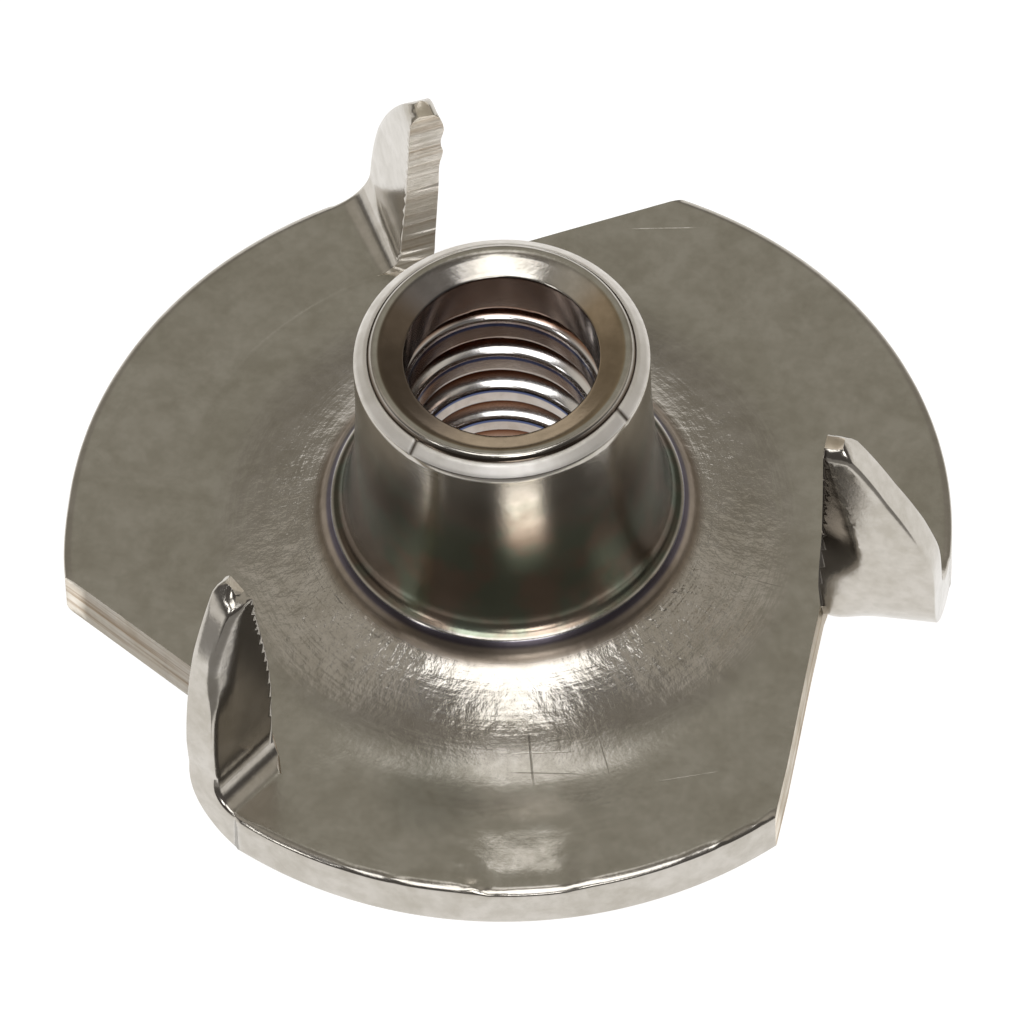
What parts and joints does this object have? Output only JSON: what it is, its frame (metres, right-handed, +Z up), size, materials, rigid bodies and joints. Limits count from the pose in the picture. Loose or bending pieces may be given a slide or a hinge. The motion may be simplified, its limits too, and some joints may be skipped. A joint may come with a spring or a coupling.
{
  "type": "tee nut",
  "caption": "Pronged tee nut: a round stamped flange with a drawn, threaded barrel and lanced prongs folded up to bite into wood.",
  "frame": {"origin": "on the bore axis, in the plane of the flange's underside", "axes": "+Z up the barrel towards its open end, +X along the first prong's fold, right-handed"},
  "size_m": [0.019, 0.0188, 0.0076],
  "materials": {
    "stainless_steel": "satin stamped stainless, brighter on drawn and sheared surfaces"
  },
  "bodies": {
    "root": {"tee_nut": "stainless_steel"}
  },
  "joints": []
}
